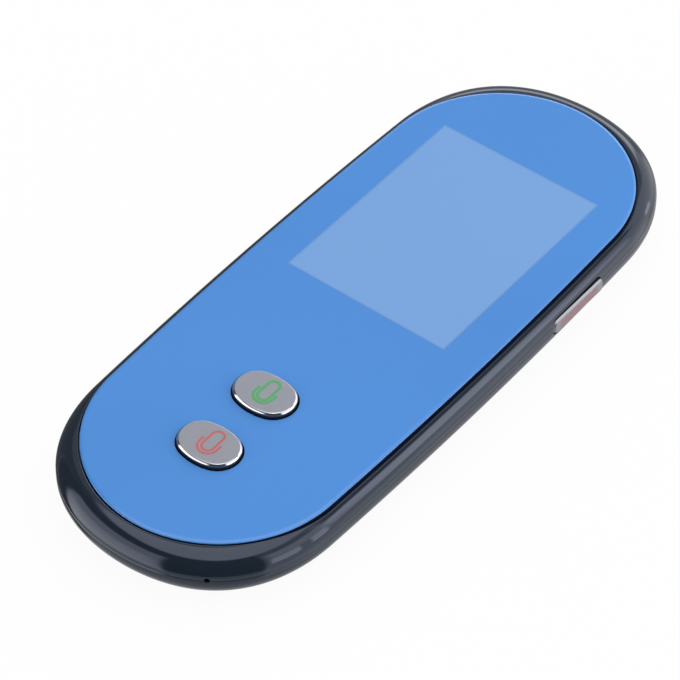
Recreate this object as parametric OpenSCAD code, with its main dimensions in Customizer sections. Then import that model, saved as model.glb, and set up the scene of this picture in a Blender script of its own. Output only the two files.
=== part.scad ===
// Handheld translator: a slim two-shell housing with a full-face cover glass,
// two oval talk keys on the front and one power key on the right-hand side.
// It lies on its back: +Z is the glass side, +Y the display end, +X the power key side.
// The origin is the middle of the flat back. Millimetres.

/* [Housing] */
// Width across the two bowed long sides
body_w = 53.6; // [52:0.2:58]
// Length from end to end
body_l = 133.8; // [131:0.2:146]
// Thickness from the flat back to the top of the glass
body_t = 11.6; // [11.5:0.1:14]
// Radius of the bow of the long sides
side_r = 1044; // [900:4:1400]
// How far the seam between the shells lies below the top of the glass
seam_drop = 4.3; // [4:0.1:4.6]
// Radius of the shoulder between the seam and the glass
top_round = 3.9; // [3.4:0.1:4]
// Height of the rounded lower edge, between the back and the straight part of the wall
bottom_round = 6.5; // [5.6:0.1:6.6]
// How far that lower edge draws in towards the flat back
bottom_draw = 10.3; // [9:0.1:10.6]
// How much the corners at both ends are fuller than a round end
corner_full = 0.75; // [0.4:0.05:1]
// Wall thickness of both shells
wall = 1.7; // [1.5:0.1:1.9]
// Bevel on both shells where they meet, which shows as the seam line
seam_bevel = 0.14; // [0.08:0.02:0.2]

/* [Shell joint] */
// Height of the lip of the front shell inside the back shell
lip_h = 0.8; // [0.6:0.1:1]
// Thickness of that lip
lip_t = 0.75; // [0.6:0.05:0.8]
// Clearance around the lip
lip_gap = 0.08; // [0.05:0.01:0.12]
// Length of one snap catch on the lip
catch_l = 6; // [4:0.5:8]
// How far a catch stands out of the lip
catch_out = 0.3; // [0.2:0.05:0.35]
// Places of the catches along each long side, as shares of the length from the middle
catch_at = [-0.225, 0, 0.33];

/* [Cover glass] */
// Housing that shows beside the glass on the long sides
side_margin = 2.35; // [2.2:0.05:2.6]
// Housing that shows beyond the glass at the ends
end_margin = 4; // [3.6:0.1:4.4]
// Glass thickness
glass_t = 1.1; // [0.9:0.1:1.2]
// Bevel along the upper edge of the glass
glass_bevel = 0.3; // [0.15:0.05:0.4]
// Gap between the glass and its recess
glass_gap = 0.15; // [0.1:0.05:0.2]
// How far the glass stands above the rim of the front shell
glass_proud = 0.3; // [0.2:0.05:0.4]
// Thickness of the adhesive under the edge of the glass
tape_t = 0.15; // [0.1:0.05:0.2]
// Width of that adhesive
tape_w = 1.3; // [1:0.1:1.4]
// Plate of the front shell under the glass
web_t = 1.2; // [1:0.1:1.3]

/* [Display] */
// Housing beside the lit area, on each side
screen_side = 9.85; // [9.6:0.05:10.6]
// Housing above the lit area, at the display end
screen_end = 22.35; // [21.8:0.05:23]
// Length of the lit area as a share of its width
screen_ratio = 1.3333; // [1.3:0.01:1.35]
// Dark border of the panel beside and above the lit area
panel_border = 2.6; // [2.2:0.1:2.8]
// Border of the panel on the ribbon side
panel_foot = 6; // [5:0.1:6.5]
// Thickness of the display glass sandwich
panel_t = 0.8; // [0.6:0.1:1]
// Thickness of the backlight tray
tray_t = 1.4; // [1.2:0.1:1.5]
// Foam tape between the display and the cover glass
display_tape_t = 0.2; // [0.15:0.05:0.3]
// Room between the display and the opening it stands in
display_gap = 0.3; // [0.2:0.05:0.4]

/* [Talk keys] */
// Length of an oval key across the housing
key_w = 11.7; // [10.5:0.1:12.5]
// Height of an oval key along the housing
key_l = 8.5; // [7.5:0.1:9]
// Distance from the microphone end to the middle of the lower key
lower_key_end = 24.45; // [24:0.05:25.4]
// Distance between the middles of the two keys
key_pitch = 14.6; // [14:0.1:15.4]
// How far a key stands above the glass
key_proud = 1.05; // [0.9:0.05:1.3]
// Thickness of the metal cap on a key
cap_t = 0.45; // [0.4:0.05:0.6]
// Bevel around the metal cap
cap_bevel = 0.3; // [0.15:0.05:0.35]
// Clearance between a key and the openings it moves in
key_gap = 0.25; // [0.2:0.05:0.3]
// How far the retaining flange reaches beyond the key
flange_out = 0.9; // [0.7:0.1:1]
// Thickness of the retaining flange
flange_t = 0.8; // [0.7:0.1:0.9]
// Travel of a talk key
key_travel = 0.4; // [0.3:0.05:0.4]

/* [Power key] */
// Length of the power key along the side
power_l = 14.6; // [13:0.1:16]
// Height of the power key
power_h = 3; // [2.6:0.1:3]
// Corner radius of the power key
power_round = 1.1; // [0.8:0.1:1.2]
// Distance from the display end to the middle of the power key
power_end = 41.4; // [40:0.1:43]
// How far the power key stands out of the side
power_proud = 0.3; // [0.2:0.05:0.4]
// Bevel around the face of the power key
power_bevel = 0.35; // [0.25:0.05:0.45]
// Travel of the power key
power_travel = 0.35; // [0.25:0.05:0.35]
// Clearance around the power key
power_gap = 0.15; // [0.1:0.01:0.2]

/* [Electronics] */
// Thickness of the battery pouch
battery_t = 3.5; // [3:0.1:3.5]
// Room beside the battery pouch, from the outside of the housing
battery_side = 8.8; // [8.3:0.1:11]
// Room between the socket of the battery and the loudspeaker
battery_clear = 12; // [11:0.5:18]
// Thickness of the main board
board_t = 0.8; // [0.6:0.1:0.8]
// Distance of the edge of the main board from the outside of the housing
board_inset = 4.2; // [4.2:0.1:5]
// Width, length and thickness of the loudspeaker
speaker_size = [15, 11, 2.9];
// Distance from the microphone end to the middle of the loudspeaker
speaker_end = 33.9; // [33:0.1:35]
// Diameter of one hole of the loudspeaker grille
grille_d = 1; // [0.8:0.1:1.1]
// Distance between the holes of the grille
grille_pitch = 1.7; // [1.6:0.05:1.9]
// Diameter of the microphone pin hole
mic_hole_d = 1; // [0.8:0.1:1.2]
// Direction of the microphone, in degrees from the right-hand side
mic_angle = 53.5; // [50:0.5:56]

/* [Screws] */
// Thread diameter of a housing screw
screw_d = 1.7; // [1.6:0.1:2]
// Head diameter of a housing screw
head_d = 3.2; // [3:0.1:3.4]
// Height of a screw head
head_h = 0.9; // [0.8:0.1:1]
// Distance of the upper screws from the middle and from the display end
screw_top = [11, 13.4];
// Distance of the lower screws from the middle and from the microphone end
screw_low = [9.5, 11.9];

/* [Hidden] */
$fn = 96;
e = 0.01;
// Steps of an outline along one long side and round one end, and of a rounded edge
side_steps = 10;
end_steps = 44;
round_steps = 8;

// Heights
rim_z = body_t - glass_proud;
seam_z = body_t - seam_drop;
glass_z = body_t - glass_t;
ledge_z = glass_z - tape_t;
web_z = ledge_z - web_t;
battery_tape_t = 0.15;
battery_gap = 0.25;
// How far the lip reaches up into the front shell
lip_root = 0.5;
// Small clearance between pieces that lie side by side without touching
fit_gap = 0.1;
// How far a cut runs past the surface that it opens
past = 1;
board_z = wall + battery_tape_t + battery_t + battery_gap;
board_top = board_z + board_t;
panel_z = glass_z - display_tape_t - panel_t;
tray_z = panel_z - tray_t;

// Glass outline
glass_w = body_w - 2 * side_margin;
glass_l = body_l - 2 * end_margin;
glass_side_r = side_r - side_margin;
tape_edge = 0.2;

// Lit area and display outline
screen_w = body_w - 2 * screen_side;
screen_l = screen_w * screen_ratio;
screen_y = body_l / 2 - screen_end - screen_l / 2;
panel_w = screen_w + 2 * panel_border;
panel_top = screen_y + screen_l / 2 + panel_border;
panel_low = screen_y - screen_l / 2 - panel_foot;
panel_l = panel_top - panel_low;
tape_gap = 0.5;
driver_l = 2;
driver_side = 3;
tray_floor = 0.9;
tray_wall = 0.3;
tray_notch_d = 1.2;

// Key stack: cap, carrier, plunger and the switch on the board
lower_key_y = lower_key_end - body_l / 2;
upper_key_y = lower_key_y + key_pitch;
key_top = body_t + key_proud;
cap_z = key_top - cap_t;
carrier_out = 0.1;
flange_gap = 0.15;
flange_top = web_z - flange_gap;
flange_z = flange_top - flange_t;
switch_size = [6, 5.2];
switch_h = 1.1;
switch_base = 0.2;
switch_notch_d = 1;
plunger_d = 2.5;
plunger_gap = 0.1;
plunger_z = board_top + switch_base + key_travel + plunger_gap / 2;
plunger_top = board_top + switch_h + key_travel + plunger_gap;

// Ends of the housing outline
body_end_r = end_r(body_w, body_l, side_r);
body_end_y = body_l / 2 - body_end_r;
body_end_a = atan2(body_end_y, side_r - body_w / 2);
mic_wall_r = body_end_r
    + corner_full * corner_share((mic_angle - body_end_a) / (180 - 2 * body_end_a));

// Power key stack, along X
power_y = body_l / 2 - power_end;
power_x = side_x(power_y) + power_proud;
power_z = seam_z + fit_gap;
power_wall_x = side_x(power_y + power_l / 2) - wall;
power_flange_t = 0.7;
power_flange_x = power_wall_x - fit_gap - power_flange_t;
power_flange_end = 1;
power_flange_low = 0.8;
power_flange_high = 0.05;
power_switch_size = [1.8, 6];
power_switch_base = 0.6;
power_switch_top = 1;
power_stalk_l = 1.4;
power_switch_x = power_flange_x - power_stalk_l - power_travel - power_switch_size[0];
power_plunger_d = 1.5;
power_plunger_x = power_switch_x + power_switch_base + power_travel + plunger_gap;
power_plunger_end = power_switch_x + power_switch_size[0] + power_travel + 3 * plunger_gap;
inlay_depth = 0.3;
inlay_edge = 0.75;
inlay_pitch = 0.7;
inlay_groove = [0.12, 0.24];

// Screws, posts and bosses
screws = [[screw_top[0], body_l / 2 - screw_top[1]], [-screw_top[0], body_l / 2 - screw_top[1]],
          [screw_low[0], screw_low[1] - body_l / 2], [-screw_low[0], screw_low[1] - body_l / 2]];
post_d = 5.2;
boss_d = 4.6;
head_gap = 0.2;
head_floor = 0.9;
screw_gap = 0.05;
head_z = 0.35;
slot_size = [2, 0.4, 0.5];
screw_end = web_z + web_t * 0.4;
screw_tip_gap = 0.2;
board_hole_gap = 0.25;

// Loudspeaker
speaker_y = speaker_end - body_l / 2;
mesh_t = 0.2;
gasket_t = 0.5;
speaker_z = wall + mesh_t + gasket_t;
speaker_gap = 0.2;
speaker_edge = 1;
cone_room = 0.5;
speaker_frame = 0.6;
rib_t = 0.8;
rib_gap = 0.3;
contact_size = [1.2, 2];
contact_x = 4;
grille_cols = 7;
grille_rows = 5;

// USB socket
usb_w = 8.94;
usb_h = 3.16;
usb_wall = 0.3;
usb_l = 7.3;
usb_back = 0.4;
usb_y = body_l / 2 - usb_back;
usb_lift = 0.2;
usb_z = board_z + board_t / 2 + usb_lift;
usb_gap = 0.2;
tongue_size = [6.7, 0.7];
tongue_base = 1.6;
tongue_back = 0.8;

// Microphone: a capsule in a rubber boot behind the pin hole
boot_gap = 0.35;
boot_l = board_inset - wall - boot_gap - 1.5 * fit_gap;
boot_d = 3.4;
boot_floor = 0.6;
capsule_d = 2.6;
capsule_l = boot_l - boot_floor;

// Battery: its upper end stays clear of the rounded end of the back shell
battery_w = body_w - 2 * battery_side;
battery_top = panel_top - 2 * fit_gap;
strip_l = 3;
strip_side = 2;
strip_edge = 0.3;
lead_d = 1;
lead_l = 3.2;
lead_x = 1.6;
socket_size = [7, 4, 1.2];
speaker_top = speaker_y + speaker_size[1] / 2 + speaker_gap + rib_t;
battery_low = speaker_top + battery_clear + socket_size[1] + lead_l;
battery_l = battery_top - battery_low;
battery_tape_edge = [3, 4];

// Radius of the end arcs of an outline w wide and l long with sides of radius r
function end_r(w, l, r) = (l * l / 4 + w * w / 4 - r * w) / (l - 2 * r);

// Half-width of the housing at a place along its bowed side
function side_x(y) = body_w / 2 - side_r + sqrt(side_r * side_r - y * y);

// Points of an outline of two bowed sides and two round ends, drawn in by inset; full is how
// much the corners stand out from the round ends
function half_outline(w, l, r, inset, full, er, ey, a) = concat(
    [for (i = [0 : side_steps - 1]) let (t = a * (2 * i / side_steps - 1))
        [w / 2 - r + (r - inset) * cos(t), (r - inset) * sin(t)]],
    [for (i = [0 : end_steps - 1]) let (t = a + (180 - 2 * a) * i / end_steps,
         out = er - inset + full * corner_share(i / end_steps))
        [out * cos(t), ey + out * sin(t)]]);
function outline(w, l, r, inset, full) =
    let (er = end_r(w, l, r), ey = l / 2 - er, a = atan2(ey, r - w / 2),
         half = half_outline(w, l, r, inset, full, er, ey, a))
    concat(half, [for (p = half) -p]);

// Share of the corner fullness at a place along a round end, from 0 to 1
function corner_share(place) = pow(sin(360 * place), 2);

// A flat plate with an outline, drawn in by inset
module slab(w, l, r, inset, z0, z1, full = 0) {
    translate([0, 0, z0]) linear_extrude(z1 - z0) polygon(outline(w, l, r, inset, full));
}

// A solid whose outline is drawn in by a different amount at each height: rings of [inset, z]
module loft(w, l, r, rings, full = 0) {
    n = 2 * (side_steps + end_steps);
    top = len(rings) - 1;
    points = [for (s = rings) for (p = outline(w, l, r, s[0], full)) [p[0], p[1], s[1]]];
    sides = [for (i = [0 : top - 1], j = [0 : n - 1])
        let (a = i * n + j, b = i * n + (j + 1) % n) each [[a, a + n, b + n], [a, b + n, b]]];
    polyhedron(points, concat([[for (j = [0 : n - 1]) j]],
        [[for (j = [n - 1 : -1 : 0]) top * n + j]], sides));
}

// Plates and lofts on the outline of the housing
module body_slab(inset, z0, z1) slab(body_w, body_l, side_r, inset, z0, z1, corner_full);
module body_loft(rings) loft(body_w, body_l, side_r, rings, corner_full);

// Rings of the lower edge, from the flat back up to where the wall stands straight
function lower_rings(inset) = [for (i = [0 : round_steps]) let (t = 90 * i / round_steps)
    [inset + (bottom_draw - inset) * (1 - sin(t)),
     inset + (bottom_round - inset) * (1 - cos(t))]];

// Rings of the shoulder, from just above the seam up to the rim
shoulder_z = rim_z - top_round;
shoulder_a = asin(max(0, seam_z + seam_bevel - shoulder_z) / top_round);
function shoulder_ring(t) = [top_round * (1 - cos(t)), shoulder_z + top_round * sin(t)];
function shoulder_rings() = [for (i = [0 : round_steps])
    shoulder_ring(shoulder_a + (90 - shoulder_a) * i / round_steps)];

// The lip of the front shell, which starts a little way up inside it
module lip() {
    difference() {
        body_slab(wall - lip_gap - lip_t, seam_z - lip_h, seam_z + lip_root);
        body_slab(wall - lip_gap, seam_z - lip_h - past, seam_z + past);
    }
}

// A section revolved and drawn out into an oval; its x runs outwards from the middle line
module oval(half) {
    for (s = [0, 180]) rotate(s) {
        translate([half, 0, 0]) rotate(-90) rotate_extrude(angle = 180) children();
        rotate([90, 0, 90]) translate([0, 0, -half]) linear_extrude(2 * half) children();
    }
}

// A straight-sided oval of the size of a key, grown all round by out
module key_oval(out, z0, z1) {
    oval((key_w - key_l) / 2) translate([0, z0]) square([key_l / 2 + out, z1 - z0]);
}

// Power key outline on the side of the housing, grown all round by out
module power_outline(out) {
    r = power_round + out;
    y = power_l / 2 - power_round;
    z = power_h / 2 - power_round;
    for (sy = [-1, 1], sz = [-1, 1]) translate([sy * y, sz * z]) circle(r);
    translate([-y - r, -z]) square([2 * (y + r), 2 * z]);
    translate([-y, -z - r]) square([2 * y, 2 * (z + r)]);
}

// Draws a Y-Z outline at the power key and extrudes it from x0 to x1
module at_power(x0, x1) {
    translate([x0, power_y, power_z]) rotate([90, 0, 90]) linear_extrude(x1 - x0) children();
}

// Places a child on the microphone's axis, with X pointing out of the housing
module at_microphone() {
    translate([0, -body_end_y, seam_z]) rotate(-mic_angle) children();
}

// A round bar along the microphone's axis between two depths inside the housing
module mic_bar(d, depth0, depth1) {
    at_microphone() translate([mic_wall_r - depth1, 0, 0]) rotate([0, 90, 0])
        cylinder(d = d, h = depth1 - depth0);
}

// Outline of the USB socket on the end of the housing, grown all round by out
module usb_outline(out) {
    r = usb_h / 2 + out;
    x = (usb_w - usb_h) / 2;
    for (s = [-1, 1]) translate([s * x, 0]) circle(r);
    translate([-x, -r]) square([2 * x, 2 * r]);
}

// Extrudes an X-Z outline along Y, ending at y1
module at_usb(l, y1) {
    translate([0, y1, usb_z]) rotate([90, 0, 0]) linear_extrude(l) children();
}

// What the power key, the microphone and the USB socket cut out of both shells
module side_cuts() {
    at_power(power_wall_x - past, power_x + past) power_outline(power_gap);
    mic_bar(mic_hole_d, -past, wall + past);
    at_usb(3 * wall, body_l / 2 + past) usb_outline(usb_gap);
}

// Snap catches along both long sides, grown all round by out
module catches(out) {
    for (s = [-1, 1], share = catch_at) {
        y = share * body_l;
        x = side_x(y) - wall + lip_gap + 0.75 * lip_t + catch_out / 2;
        translate([s * x, y, seam_z - lip_h / 2])
            cube([catch_out + lip_t / 2 + 2 * out, catch_l + 2 * out, lip_h / 2 + 2 * out],
                 center = true);
    }
}

module back_cover() {
    color([0.16, 0.17, 0.21]) difference() {
        union() {
            difference() {
                body_loft(concat(lower_rings(0),
                    [[0, seam_z - seam_bevel], [seam_bevel, seam_z]]));
                body_loft(concat(lower_rings(wall),
                    [[wall, seam_z + past]]));
                body_slab(wall - lip_t - 2 * lip_gap, seam_z - lip_h - lip_gap, seam_z + past);
            }
            for (p = screws) translate([p[0], p[1], wall / 2])
                cylinder(d = post_d, h = board_z - wall / 2);
            speaker_ribs();
        }
        for (p = screws) translate([p[0], p[1], 0]) {
            translate([0, 0, -past]) cylinder(d = head_d + head_gap, h = past + head_z + head_h);
            translate([0, 0, -past]) cylinder(d = screw_d + 2 * head_gap, h = board_z + 2 * past);
        }
        grille_holes();
        side_cuts();
        catches(lip_gap);
        power_flange_room();
    }
}

// Room for the flange of the power key where the rounded wall would touch it
module power_flange_room() {
    g = power_gap;
    translate([power_flange_x - power_travel - g, power_y - power_l / 2 - power_flange_end - g,
               power_z - power_h / 2 - power_flange_low - g])
        cube([power_flange_t + power_travel + 2 * g, power_l + 2 * (power_flange_end + g),
              power_h + power_flange_low + power_flange_high + 2 * g]);
}

// Ribs on the floor that hold the loudspeaker
module speaker_ribs() {
    w = speaker_size[0] + 2 * (speaker_gap + rib_t);
    l = speaker_size[1] + 2 * (speaker_gap + rib_t);
    translate([-w / 2, speaker_y - l / 2, wall / 2]) difference() {
        cube([w, l, board_z - battery_gap - wall / 2 - rib_gap]);
        translate([rib_t, rib_t, -past]) cube([w - 2 * rib_t, l - 2 * rib_t, board_z]);
    }
}

// Rows of round holes, with the corners of the field left out
module grille_holes() {
    for (i = [0 : grille_cols - 1], j = [0 : grille_rows - 1])
        if (i % (grille_cols - 1) != 0 || j % (grille_rows - 1) != 0)
            translate([(i - (grille_cols - 1) / 2) * grille_pitch,
                       speaker_y + (j - (grille_rows - 1) / 2) * grille_pitch, -past])
                cylinder(d = grille_d, h = wall + 2 * past, $fn = 24);
}

module front_shell() {
    color([0.18, 0.19, 0.24]) {
        difference() {
            union() {
                difference() {
                    body_loft(concat([[seam_bevel, seam_z]], shoulder_rings()));
                    body_slab(wall, seam_z - past, web_z);
                }
                lip();
                for (p = screws) translate([p[0], p[1], board_top])
                    cylinder(d = boss_d, h = web_z + web_t / 2 - board_top);
                catches(0);
            }
            slab(glass_w, glass_l, glass_side_r, -glass_gap, ledge_z, body_t + past);
            translate([-panel_w / 2 - display_gap, panel_low - display_gap, web_z - past])
                cube([panel_w + 2 * display_gap, panel_l + 2 * display_gap, web_t + 2 * past]);
            translate([-flex_w / 2 - display_gap, panel_low - flex_room, web_z - past])
                cube([flex_w + 2 * display_gap, flex_room, web_t + 2 * past]);
            for (y = [upper_key_y, lower_key_y]) translate([0, y, 0])
                key_oval(carrier_out + key_gap, web_z - past, ledge_z + past);
            for (p = screws) translate([p[0], p[1], board_top - past])
                cylinder(d = screw_d + 2 * screw_gap,
                         h = screw_end + screw_tip_gap - board_top + past);
            side_cuts();
            power_flange_room();
        }
    }
}

module cover_glass() {
    color([0.34, 0.57, 0.87]) difference() {
        loft(glass_w, glass_l, glass_side_r,
             [[0, glass_z], [0, body_t - glass_bevel], [glass_bevel, body_t]]);
        for (y = [upper_key_y, lower_key_y]) translate([0, y, 0])
            key_oval(carrier_out + key_gap, glass_z - past, body_t + past);
    }
}

module glass_adhesive() {
    color("black") difference() {
        slab(glass_w, glass_l, glass_side_r, tape_edge, ledge_z, glass_z);
        slab(glass_w, glass_l, glass_side_r, tape_edge + tape_w, ledge_z - past, glass_z + past);
    }
}

// A rectangular plate on the display's own centre line
module display_plate(w, low, top, z0, z1) {
    translate([-w / 2, low, z0]) cube([w, top - low, z1 - z0]);
}

module display_tape() {
    color("black") difference() {
        display_plate(panel_w, panel_low, panel_top, panel_z + panel_t, glass_z);
        display_plate(screen_w + 2 * tape_gap, screen_y - screen_l / 2 - tape_gap,
                      screen_y + screen_l / 2 + tape_gap, panel_z, body_t);
    }
}

module lcd_panel() {
    color([0.6, 0.72, 0.9]) difference() {
        display_plate(panel_w, panel_low, panel_top, panel_z, panel_z + panel_t);
        display_plate(panel_w - 2 * driver_side, panel_low - past, panel_low + driver_l,
                      panel_z + panel_t / 2, body_t);
    }
}

module backlight_tray() {
    color("silver") difference() {
        display_plate(panel_w, panel_low, panel_top, tray_z, panel_z);
        display_plate(panel_w - 2 * tray_wall, panel_low + tray_wall, panel_top - tray_wall,
                      tray_z + tray_floor, body_t);
        for (s = [-1, 1]) translate([s * panel_w / 2, panel_low + panel_foot, tray_z - past])
            cylinder(d = tray_notch_d, h = tray_t + 2 * past);
    }
}

// Ribbon from the foot of the display down to its connector on the board
flex_t = 0.2;
flex_w = 14;
flex_top = panel_z;
connector_h = 0.7;
connector_side = 1;
connector_slot = 0.15;
connector_back = 0.6;
flex_low = board_top + connector_h + flex_t;
flex_r = (flex_top - flex_low) / 2;
flex_bend = flex_r + flex_t;
flex_start = 1;
flex_room = flex_start + flex_bend + display_gap;
flex_run = 3.5;

module display_flex() {
    color([0.75, 0.45, 0.12]) translate([-flex_w / 2, panel_low - flex_start, 0])
        rotate([90, 0, 90]) linear_extrude(flex_w) {
            translate([0, flex_top]) square([flex_start, flex_t]);
            translate([0, flex_low + flex_r]) difference() {
                circle(flex_bend);
                circle(flex_r);
                translate([0, -flex_bend]) square(2 * flex_bend);
            }
            translate([0, flex_low - flex_t]) square([flex_run, flex_t]);
        }
}

module flex_connector() {
    w = flex_w + 2 * connector_side;
    color("ivory") difference() {
        translate([-w / 2, panel_low - connector_back, board_top]) cube([w, flex_run, connector_h]);
        translate([-flex_w / 2, panel_low, board_top + (connector_h - connector_slot) / 2])
            cube([flex_w, flex_run, connector_slot]);
    }
}

module key_cap(y) {
    r = key_l / 2;
    color([0.66, 0.66, 0.7]) translate([0, y, 0]) oval((key_w - key_l) / 2)
        polygon([[0, cap_z], [r, cap_z], [r, key_top - cap_bevel], [r - cap_bevel, key_top],
                 [0, key_top]]);
}

module key_carrier(y) {
    color([0.08, 0.08, 0.1]) translate([0, y, 0]) {
        key_oval(carrier_out, flange_top - e, cap_z);
        key_oval(carrier_out + flange_out, flange_z, flange_top);
        translate([0, 0, plunger_top]) cylinder(d = plunger_d, h = flange_z + flange_t / 2 - plunger_top);
    }
}

module key_plunger(y) {
    color("white") translate([0, y, plunger_z]) cylinder(d = plunger_d, h = plunger_top - plunger_z);
}

module key_switch(y) {
    color([0.25, 0.25, 0.27]) translate([0, y, board_top]) difference() {
        translate([-switch_size[0] / 2, -switch_size[1] / 2, 0])
            cube([switch_size[0], switch_size[1], switch_h]);
        translate([0, 0, switch_base]) cylinder(d = plunger_d + 2 * plunger_gap, h = switch_h);
        for (s = [-1, 1]) translate([s * switch_size[0] / 2, 0, -past])
            cylinder(d = switch_notch_d, h = switch_h + 2 * past, $fn = 24);
    }
}

module upper_key_cap() key_cap(upper_key_y);
module upper_key_carrier() key_carrier(upper_key_y);
module upper_key_plunger() key_plunger(upper_key_y);
module upper_key_switch() key_switch(upper_key_y);
module lower_key_cap() key_cap(lower_key_y);
module lower_key_carrier() key_carrier(lower_key_y);
module lower_key_plunger() key_plunger(lower_key_y);
module lower_key_switch() key_switch(lower_key_y);

module power_key() {
    color([0.72, 0.72, 0.75]) difference() {
        union() {
            hull() {
                at_power(power_flange_x + e, power_x - power_bevel) power_outline(0, $fn = 32);
                at_power(power_x - e, power_x) power_outline(-power_bevel, $fn = 32);
            }
            translate([power_flange_x, power_y - power_l / 2 - power_flange_end,
                       power_z - power_h / 2 - power_flange_low])
                cube([power_flange_t, power_l + 2 * power_flange_end,
                      power_h + power_flange_low + power_flange_high]);
            translate([power_plunger_end, power_y, power_z]) rotate([0, 90, 0])
                cylinder(d = power_plunger_d, h = power_flange_x + e - power_plunger_end, $fn = 32);
        }
        translate([power_x - inlay_depth, power_y - power_l / 2 + inlay_edge,
                   power_z - power_h / 2 + inlay_edge])
            cube([past, power_l - 2 * inlay_edge, power_h - 2 * inlay_edge]);
    }
}

// Ribbed strip let into the face of the power key
module power_key_inlay() {
    l = power_l - 2 * inlay_edge;
    h = power_h - 2 * inlay_edge;
    ribs = floor(l / inlay_pitch);
    color([0.62, 0.32, 0.33]) translate([power_x - inlay_depth, power_y - l / 2, power_z - h / 2]) {
        difference() {
            cube([inlay_depth, l, h]);
            for (i = [0 : ribs - 1])
                translate([inlay_depth - inlay_groove[0], (i + 0.5) * l / ribs - inlay_groove[1] / 2,
                           -past])
                    cube([past, inlay_groove[1], h + 2 * past]);
        }
    }
}

module power_plunger() {
    color("white") translate([power_plunger_x, power_y, power_z]) rotate([0, 90, 0])
        cylinder(d = power_plunger_d, h = power_plunger_end - power_plunger_x);
}

module power_switch() {
    s = power_switch_size;
    color([0.25, 0.25, 0.27]) difference() {
        translate([power_switch_x, power_y - s[1] / 2, board_top])
            cube([s[0], s[1], power_z - board_top + power_switch_top]);
        translate([power_switch_x + power_switch_base, power_y, power_z]) rotate([0, 90, 0])
            cylinder(d = power_plunger_d + 2 * plunger_gap, h = s[0]);
    }
}

module main_board() {
    edge_x = body_w / 2 - board_inset;
    color([0.07, 0.3, 0.16]) difference() {
        body_slab(board_inset, board_z, board_top);
        for (p = screws) translate([p[0], p[1], board_z - past])
            cylinder(d = screw_d + 2 * board_hole_gap, h = board_t + 2 * past);
        translate([-usb_w / 2 - usb_gap, usb_y - usb_l - usb_gap, board_z - past])
            cube([usb_w + 2 * usb_gap, usb_l + 2 * past, board_t + 2 * past]);
        for (s = [-1, 1]) translate([s * edge_x, panel_low, board_z - past])
            cylinder(d = board_notch_d, h = board_t + 2 * past);
    }
}

board_notch_d = 3;
can_size = [26, 22, 1.4];
can_wall = 0.2;
can_gap = 0.75;
can_y = panel_low - connector_back + flex_run + can_gap + can_size[1] / 2;
can_hole_d = 1;
can_hole_pitch = [4, 5];
processor_size = [12, 12, 1];
processor_x = -5;
memory_size = [8, 10, 0.9];
memory_x = 6.5;
radio_size = [13, 12, 0.6];
radio_can = [11.8, 8, 0.8];
radio_edge = 0.6;
radio_y = can_y + can_size[1] / 2 + 20;
part_size = [1.6, 0.8, 0.8];
part_pitch = 3.2;
part_rows = 6;
part_x = can_size[0] / 2 + 3.5;
small_size = [0.8, 1.6, 0.7];
small_pitch = 2.4;
small_row = 5;
small_x = -12;
coil_size = [4, 4, 1.2];
coil_x = 9;
part_y = can_y + can_size[1] / 2 + 5;

// A block standing on the board, with its middle at x, y
module board_block(size, x, y) {
    translate([x - size[0] / 2, y - size[1] / 2, board_top]) cube(size);
}

module processor() {
    color([0.1, 0.1, 0.11]) board_block(processor_size, processor_x, can_y);
}

module memory_chip() {
    color([0.13, 0.13, 0.14]) board_block(memory_size, memory_x, can_y);
}

module shield_can() {
    color("silver") translate([0, can_y, board_top]) difference() {
        translate([-can_size[0] / 2, -can_size[1] / 2, 0]) cube(can_size);
        translate([-can_size[0] / 2 + can_wall, -can_size[1] / 2 + can_wall, -past])
            cube([can_size[0] - 2 * can_wall, can_size[1] - 2 * can_wall,
                  can_size[2] + past - can_wall]);
        for (i = [-2 : 2], j = [-1 : 1])
            translate([i * can_hole_pitch[0], j * can_hole_pitch[1], 0])
                cylinder(d = can_hole_d, h = can_size[2] + past, $fn = 24);
    }
}

module radio_module() {
    color([0.7, 0.7, 0.72]) {
        board_block(radio_size, 0, radio_y);
        translate([-radio_can[0] / 2, radio_y - radio_size[1] / 2 + radio_edge,
                   board_top + radio_size[2] - e])
            cube(radio_can);
    }
}

// Capacitors and coils in rows beside the chips
module board_components() {
    color([0.55, 0.42, 0.3]) {
        for (i = [0 : part_rows - 1], s = [-1, 1])
            board_block(part_size, s * part_x, can_y + (i - (part_rows - 1) / 2) * part_pitch);
        for (i = [0 : small_row - 1]) board_block(small_size, small_x + i * small_pitch, part_y);
        board_block(coil_size, coil_x, part_y);
    }
}

module usb_shell() {
    color("silver") difference() {
        at_usb(usb_l, usb_y) usb_outline(0);
        at_usb(usb_l - usb_wall + past, usb_y + past) usb_outline(-usb_wall);
    }
}

module usb_tongue() {
    base = [usb_w - usb_h, usb_h - 2 * usb_wall];
    color([0.1, 0.1, 0.1]) {
        at_usb(tongue_base, usb_y - usb_l + usb_wall + tongue_base)
            translate(-base / 2) square(base);
        at_usb(usb_l - usb_wall - tongue_back, usb_y - tongue_back)
            translate(-tongue_size / 2) square(tongue_size);
    }
}

module microphone_boot() {
    d0 = wall + boot_gap;
    color([0.12, 0.12, 0.12]) difference() {
        mic_bar(boot_d, d0, d0 + boot_l);
        mic_bar(capsule_d, d0 + boot_floor, d0 + boot_l + past);
        mic_bar(mic_hole_d, d0 - past, d0 + boot_l);
    }
}

module microphone() {
    d1 = wall + boot_gap + boot_l;
    color("silver") mic_bar(capsule_d, d1 - capsule_l, d1);
}

// A block of the loudspeaker's outline, shrunk all round by inset
module speaker_block(inset, z0, z1) {
    translate([-speaker_size[0] / 2 + inset, speaker_y - speaker_size[1] / 2 + inset, z0])
        cube([speaker_size[0] - 2 * inset, speaker_size[1] - 2 * inset, z1 - z0]);
}

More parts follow.
